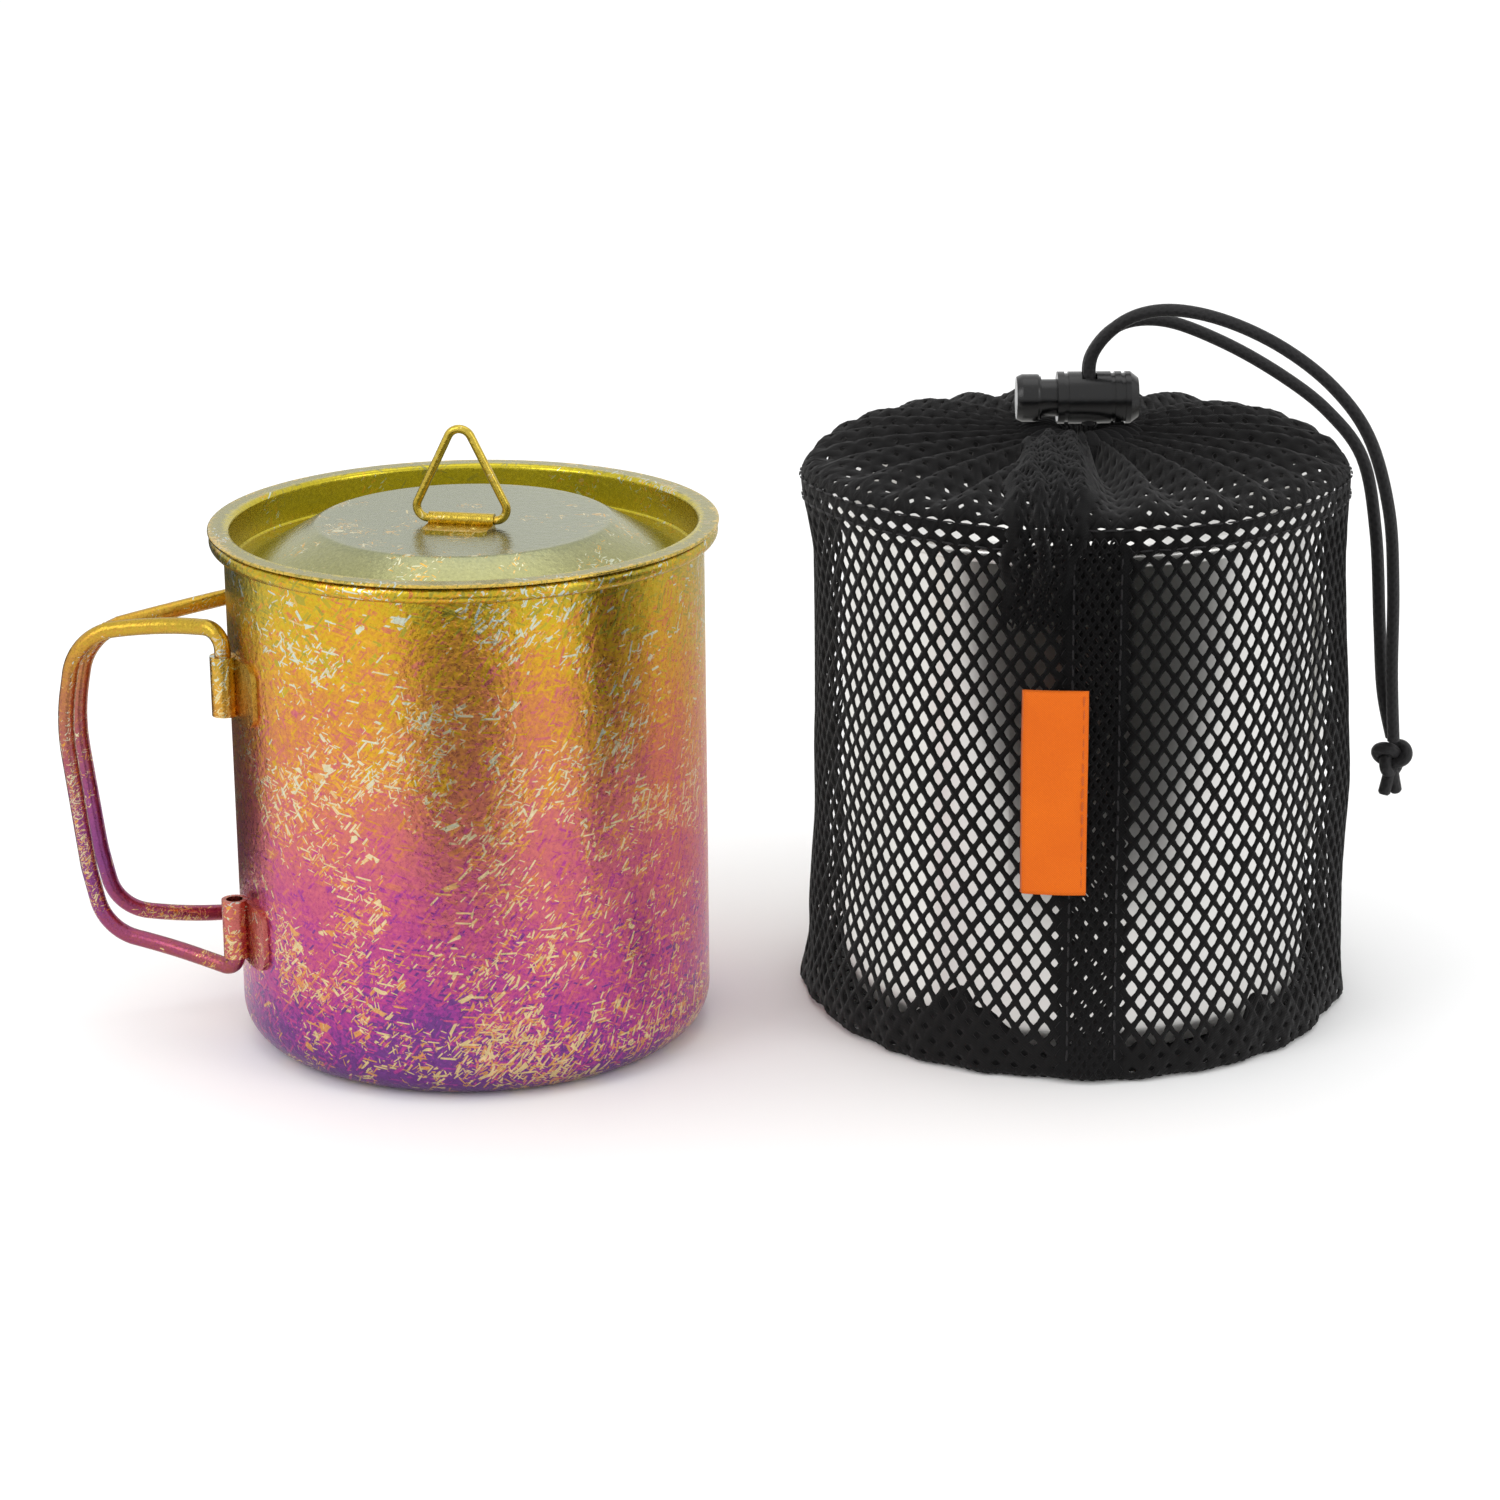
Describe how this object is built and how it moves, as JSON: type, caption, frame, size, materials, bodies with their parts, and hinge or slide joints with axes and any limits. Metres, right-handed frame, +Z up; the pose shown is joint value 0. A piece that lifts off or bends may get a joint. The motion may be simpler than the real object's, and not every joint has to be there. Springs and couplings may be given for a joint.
{
  "type": "cooking pot set",
  "caption": "Camping pot with folding wire handles and a lid with a folding loop, beside a drawstring mesh bag holding a second pot with its handles folded.",
  "frame": {"origin": "centre of the pot's flat base, on the table", "axes": "+Z up along the pot axis, the handles point to -X, the bag stands at +X, +Y points away from the viewer"},
  "size_m": [0.2356, 0.1048, 0.1256],
  "materials": {
    "pot_body": "satin anodised titanium, olive gold at the rim through copper and pink to violet at the base, with a crystal pattern",
    "lug_upper": "satin anodised titanium, gold",
    "lug_lower": "satin anodised titanium, magenta",
    "handle_wire": "satin anodised titanium wire, gold to purple",
    "lid_metal": "satin anodised titanium, olive gold",
    "lid_fittings": "satin anodised titanium, gold",
    "packed_metal": "satin bare titanium",
    "mesh_cloth": "matt knitted nylon mesh",
    "webbing_black": "matt woven nylon",
    "label_orange": "satin woven",
    "cord_black": "matt braided nylon",
    "lock_black": "satin moulded nylon"
  },
  "bodies": {
    "pot": {"pot_shell": "pot_body", "lug_front_upper": "lug_upper", "lug_front_lower": "lug_lower", "lug_rear_upper": "lug_upper", "lug_rear_lower": "lug_lower"},
    "lid": {"lid_shell": "lid_metal", "lid_bracket": "lid_fittings"},
    "loop": {"lid_loop": "lid_fittings"},
    "front_handle": {"handle_front": "handle_wire"},
    "rear_handle": {"handle_rear": "handle_wire"},
    "bag": {"bag_wall": "mesh_cloth", "bag_base": "mesh_cloth", "bag_hem": "webbing_black", "bag_seam_band": "webbing_black", "bag_label": "label_orange", "bag_drawcord": "cord_black", "cord_lock_barrel": "lock_black", "cord_strand_over": "cord_black", "cord_strand_side": "cord_black", "cord_knot": "cord_black", "packed_pot_shell": "packed_metal", "packed_lug_front_upper": "packed_metal", "packed_lug_front_lower": "packed_metal", "packed_lug_rear_upper": "packed_metal", "packed_lug_rear_lower": "packed_metal", "packed_handle_front": "packed_metal", "packed_handle_rear": "packed_metal", "packed_lid_shell": "packed_metal", "packed_lid_bracket": "packed_metal", "packed_lid_loop": "packed_metal"},
    "plunger": {"cord_lock_plunger": "lock_black"}
  },
  "joints": [
    {"name": "lid_lift", "type": "slide", "parent": "pot", "child": "lid", "axis": [0, 0, 1], "range_m": [0, 0.06]},
    {"name": "loop_fold", "type": "hinge", "parent": "lid", "child": "loop", "pos_m": [0, -0.0046, 0.09197], "axis": [0.9781, -0.2079, 0], "range_deg": [-90, 86]},
    {"name": "front_handle_fold", "type": "hinge", "parent": "pot", "child": "front_handle", "pos_m": [-0.04015, -0.01622, 0.045], "axis": [0, 0, 1], "range_deg": [-10, 149]},
    {"name": "rear_handle_fold", "type": "hinge", "parent": "pot", "child": "rear_handle", "pos_m": [-0.04015, 0.01622, 0.045], "axis": [0, 0, -1], "range_deg": [-10, 149]},
    {"name": "bag_lift", "type": "slide", "parent": "pot", "child": "bag", "axis": [0, 0, 1], "range_m": [0, 0.1]},
    {"name": "plunger_press", "type": "slide", "parent": "bag", "child": "plunger", "axis": [1, 0, 0], "range_m": [0, 0.0025], "stiffness_N_per_m": 800, "springref_m": -0.002}
  ]
}
